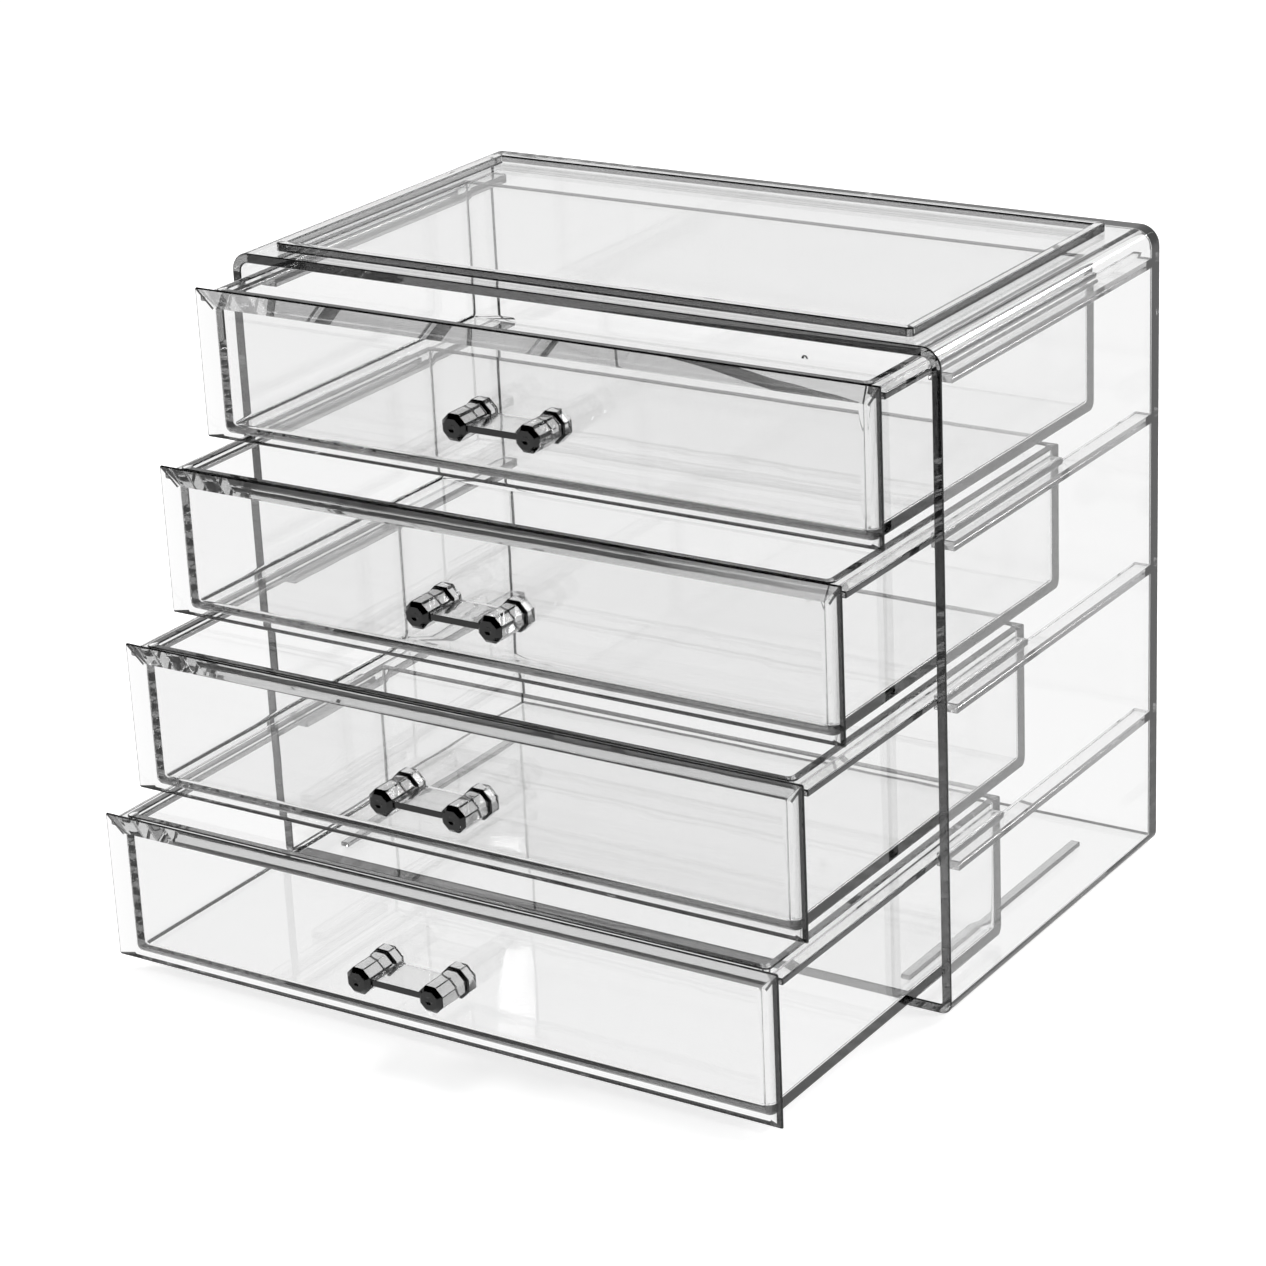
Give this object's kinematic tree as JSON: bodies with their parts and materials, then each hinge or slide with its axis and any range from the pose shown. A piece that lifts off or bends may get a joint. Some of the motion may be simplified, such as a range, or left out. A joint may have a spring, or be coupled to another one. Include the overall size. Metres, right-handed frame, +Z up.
{
  "type": "acrylic drawer organizer",
  "caption": "Clear acrylic tabletop organizer: a sleeve-shaped case with a tray rim on top and wide drawers that slide on side runners, each with a faceted clear handle.",
  "frame": {"origin": "centre of the case's flat underside", "axes": "+Z up, the drawers pull out along -Y, +X to the right seen from the front"},
  "size_m": [0.24, 0.2375, 0.2005],
  "materials": {
    "case_acrylic": "gloss",
    "runner_acrylic": "gloss",
    "drawer_acrylic": "gloss",
    "handle_acrylic": "gloss"
  },
  "bodies": {
    "case": {"case_shell": "case_acrylic", "back_panel": "case_acrylic", "top_rim": "case_acrylic", "runner_left_1": "runner_acrylic", "runner_left_2": "runner_acrylic", "runner_left_3": "runner_acrylic", "runner_left_4": "runner_acrylic", "runner_right_1": "runner_acrylic", "runner_right_2": "runner_acrylic", "runner_right_3": "runner_acrylic", "runner_right_4": "runner_acrylic", "floor_rib_left": "runner_acrylic", "floor_rib_right": "runner_acrylic"},
    "drawer_1": {"drawer_1_box": "drawer_acrylic", "drawer_1_front": "drawer_acrylic", "drawer_1_handle_bar": "drawer_acrylic", "drawer_1_post_left": "handle_acrylic", "drawer_1_post_right": "handle_acrylic"},
    "drawer_2": {"drawer_2_box": "drawer_acrylic", "drawer_2_front": "drawer_acrylic", "drawer_2_handle_bar": "drawer_acrylic", "drawer_2_post_left": "handle_acrylic", "drawer_2_post_right": "handle_acrylic"},
    "drawer_3": {"drawer_3_box": "drawer_acrylic", "drawer_3_front": "drawer_acrylic", "drawer_3_handle_bar": "drawer_acrylic", "drawer_3_post_left": "handle_acrylic", "drawer_3_post_right": "handle_acrylic"},
    "drawer_4": {"drawer_4_box": "drawer_acrylic", "drawer_4_front": "drawer_acrylic", "drawer_4_handle_bar": "drawer_acrylic", "drawer_4_post_left": "handle_acrylic", "drawer_4_post_right": "handle_acrylic"}
  },
  "joints": [
    {"name": "drawer_1_slide", "type": "slide", "parent": "case", "child": "drawer_1", "axis": [0, -1, 0], "range_m": [-0.024, 0.081]},
    {"name": "drawer_2_slide", "type": "slide", "parent": "case", "child": "drawer_2", "axis": [0, -1, 0], "range_m": [-0.047, 0.058]},
    {"name": "drawer_3_slide", "type": "slide", "parent": "case", "child": "drawer_3", "axis": [0, -1, 0], "range_m": [-0.0695, 0.0355]},
    {"name": "drawer_4_slide", "type": "slide", "parent": "case", "child": "drawer_4", "axis": [0, -1, 0], "range_m": [-0.0855, 0.0195]}
  ]
}
